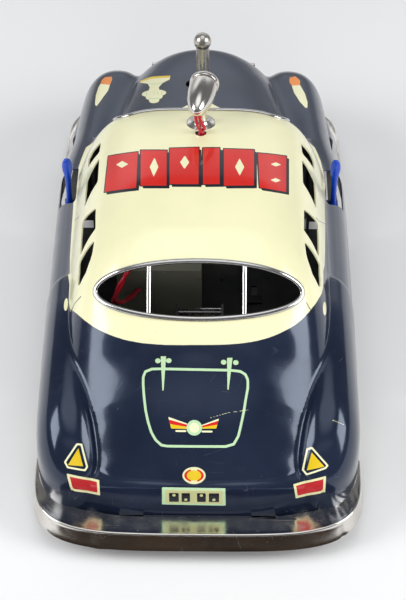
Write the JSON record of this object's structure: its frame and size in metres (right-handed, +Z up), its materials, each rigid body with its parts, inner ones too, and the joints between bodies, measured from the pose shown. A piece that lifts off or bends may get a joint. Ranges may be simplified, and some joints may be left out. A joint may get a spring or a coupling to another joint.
{
  "type": "friction tin car",
  "caption": "Pressed-tin friction-drive toy saloon car with open windows, bumpers, lever-steered front axle, swivelling battery-lit roof spotlight and swing-out signal arms.",
  "frame": {"origin": "on the ground under the middle of the car's length and width", "axes": "+Y to the car's front, +X to its right-hand side, +Z up"},
  "size_m": [0.1124, 0.236, 0.0984],
  "materials": {
    "litho_tin": "glossy lithographed tinplate, dark navy with a cream roof",
    "base_tin": "satin dark painted tinplate",
    "inner_tin": "dull dark painted tinplate",
    "bumper_chrome": "warm worn nickel and chrome plate with fine scratches",
    "bright_trim": "bright plated trim",
    "lamp_nickel": "bright nickel plate",
    "reflector": "polished",
    "lamp_glass": "clear",
    "bulb_glass": "clear",
    "lever_nickel": "worn nickel plate",
    "steel": "turned steel",
    "spring_steel": "tinned spring wire",
    "brass": "stamped brass",
    "flywheel_iron": "dark cast metal",
    "wheel_tin": "glossy cream tinplate",
    "tyre_rubber": "black rubber",
    "cell_jacket": "plain printed jacket",
    "red_wire": "red insulated wire",
    "blue_plastic": "glossy blue plastic",
    "switch_plastic": "black plastic"
  },
  "bodies": {
    "root": {"body_shell": "litho_tin", "base_plate": "base_tin", "base_tabs": "base_tin", "rear_bumper": "bumper_chrome", "front_bumper": "bumper_chrome", "front_grille": "bumper_chrome", "windscreen_frame": "bright_trim", "rear_window_frame": "bright_trim", "headlamp_bezel_left": "bright_trim", "headlamp_bezel_right": "bright_trim", "headlamp_lens_left": "lamp_glass", "headlamp_lens_right": "lamp_glass", "spotlight_foot": "lamp_nickel", "battery_box": "inner_tin", "battery_cell": "cell_jacket", "battery_spring": "spring_steel", "battery_contact": "brass", "steering_bracket": "inner_tin", "kingpin": "steel", "lever_pin": "steel", "signal_bracket_left": "inner_tin", "signal_bracket_right": "inner_tin", "signal_pin_left": "steel", "signal_pin_right": "steel", "motor_side_left": "inner_tin", "motor_side_right": "inner_tin", "motor_spacers": "steel", "battery_door_pin": "steel", "lamp_wires": "red_wire"},
    "rear_axle_set": {"rear_axle": "steel", "axle_gear": "brass", "rear_wheel_left": "wheel_tin", "rear_wheel_right": "wheel_tin", "rear_tyre_left": "tyre_rubber", "rear_tyre_right": "tyre_rubber"},
    "countershaft_set": {"countershaft": "steel", "counter_pinion": "brass", "counter_gear": "brass"},
    "flywheel_set": {"flywheel_shaft": "steel", "flywheel_pinion": "brass", "flywheel_left": "flywheel_iron", "flywheel_right": "flywheel_iron"},
    "steering": {"steering_yoke": "inner_tin"},
    "front_axle_set": {"front_axle": "steel", "front_wheel_left": "wheel_tin", "front_wheel_right": "wheel_tin", "front_tyre_left": "tyre_rubber", "front_tyre_right": "tyre_rubber"},
    "lever": {"steering_lever": "lever_nickel", "lever_knob": "lever_nickel"},
    "spotlight": {"spotlight_shell": "lamp_nickel", "spotlight_bezel": "lamp_nickel", "spotlight_reflector": "reflector", "spotlight_lens": "lamp_glass", "spotlight_bulb": "bulb_glass"},
    "arm_left": {"signal_arm_left": "blue_plastic"},
    "arm_right": {"signal_arm_right": "blue_plastic"},
    "door": {"battery_door": "base_tin"},
    "switch": {"light_switch": "switch_plastic"}
  },
  "joints": [
    {"name": "rear_axle_spin", "type": "hinge", "parent": "root", "child": "rear_axle_set", "pos_m": [0, -0.064, 0.016], "axis": [1, 0, 0], "continuous": true},
    {"name": "countershaft_spin", "type": "hinge", "parent": "root", "child": "countershaft_set", "pos_m": [0, -0.0514, 0.016], "axis": [1, 0, 0], "continuous": true},
    {"name": "flywheel_spin", "type": "hinge", "parent": "root", "child": "flywheel_set", "pos_m": [0, -0.04246, 0.024], "axis": [1, 0, 0], "continuous": true},
    {"name": "steering_turn", "type": "hinge", "parent": "root", "child": "steering", "pos_m": [0, 0.062, 0.0215], "axis": [0, 0, 1], "range_deg": [-10, 10]},
    {"name": "front_axle_spin", "type": "hinge", "parent": "steering", "child": "front_axle_set", "pos_m": [0, 0.062, 0.016], "axis": [1, 0, 0], "continuous": true},
    {"name": "lever_tilt", "type": "hinge", "parent": "root", "child": "lever", "pos_m": [0, 0.074, 0.034], "axis": [0, 1, 0], "range_deg": [-9.7, 9.7]},
    {"name": "spotlight_swivel", "type": "hinge", "parent": "root", "child": "spotlight", "pos_m": [0, 0.0145, 0.0932], "axis": [0, 0, 1], "range_deg": [-30, 30], "deforming": ["lamp_wires"]},
    {"name": "signal_arm_left_swing", "type": "hinge", "parent": "root", "child": "arm_left", "pos_m": [-0.0492, 0.022, 0.034], "axis": [0, -1, 0], "range_deg": [0, 30]},
    {"name": "signal_arm_right_swing", "type": "hinge", "parent": "root", "child": "arm_right", "pos_m": [0.0492, 0.022, 0.034], "axis": [0, 1, 0], "range_deg": [0, 30]},
    {"name": "battery_door_swing", "type": "hinge", "parent": "root", "child": "door", "pos_m": [-0.014, -0.025, 0.0094], "axis": [-1, 0, 0], "range_deg": [0, 100]},
    {"name": "light_switch_slide", "type": "slide", "parent": "root", "child": "switch", "axis": [0, 1, 0], "range_m": [0, 0.0057]}
  ],
  "couplings": [
    {"joint": "countershaft_spin", "follows": "rear_axle_spin", "ratio": -2.5},
    {"joint": "flywheel_spin", "follows": "rear_axle_spin", "ratio": 7.5},
    {"joint": "lever_tilt", "follows": "steering_turn", "ratio": 0.96}
  ]
}
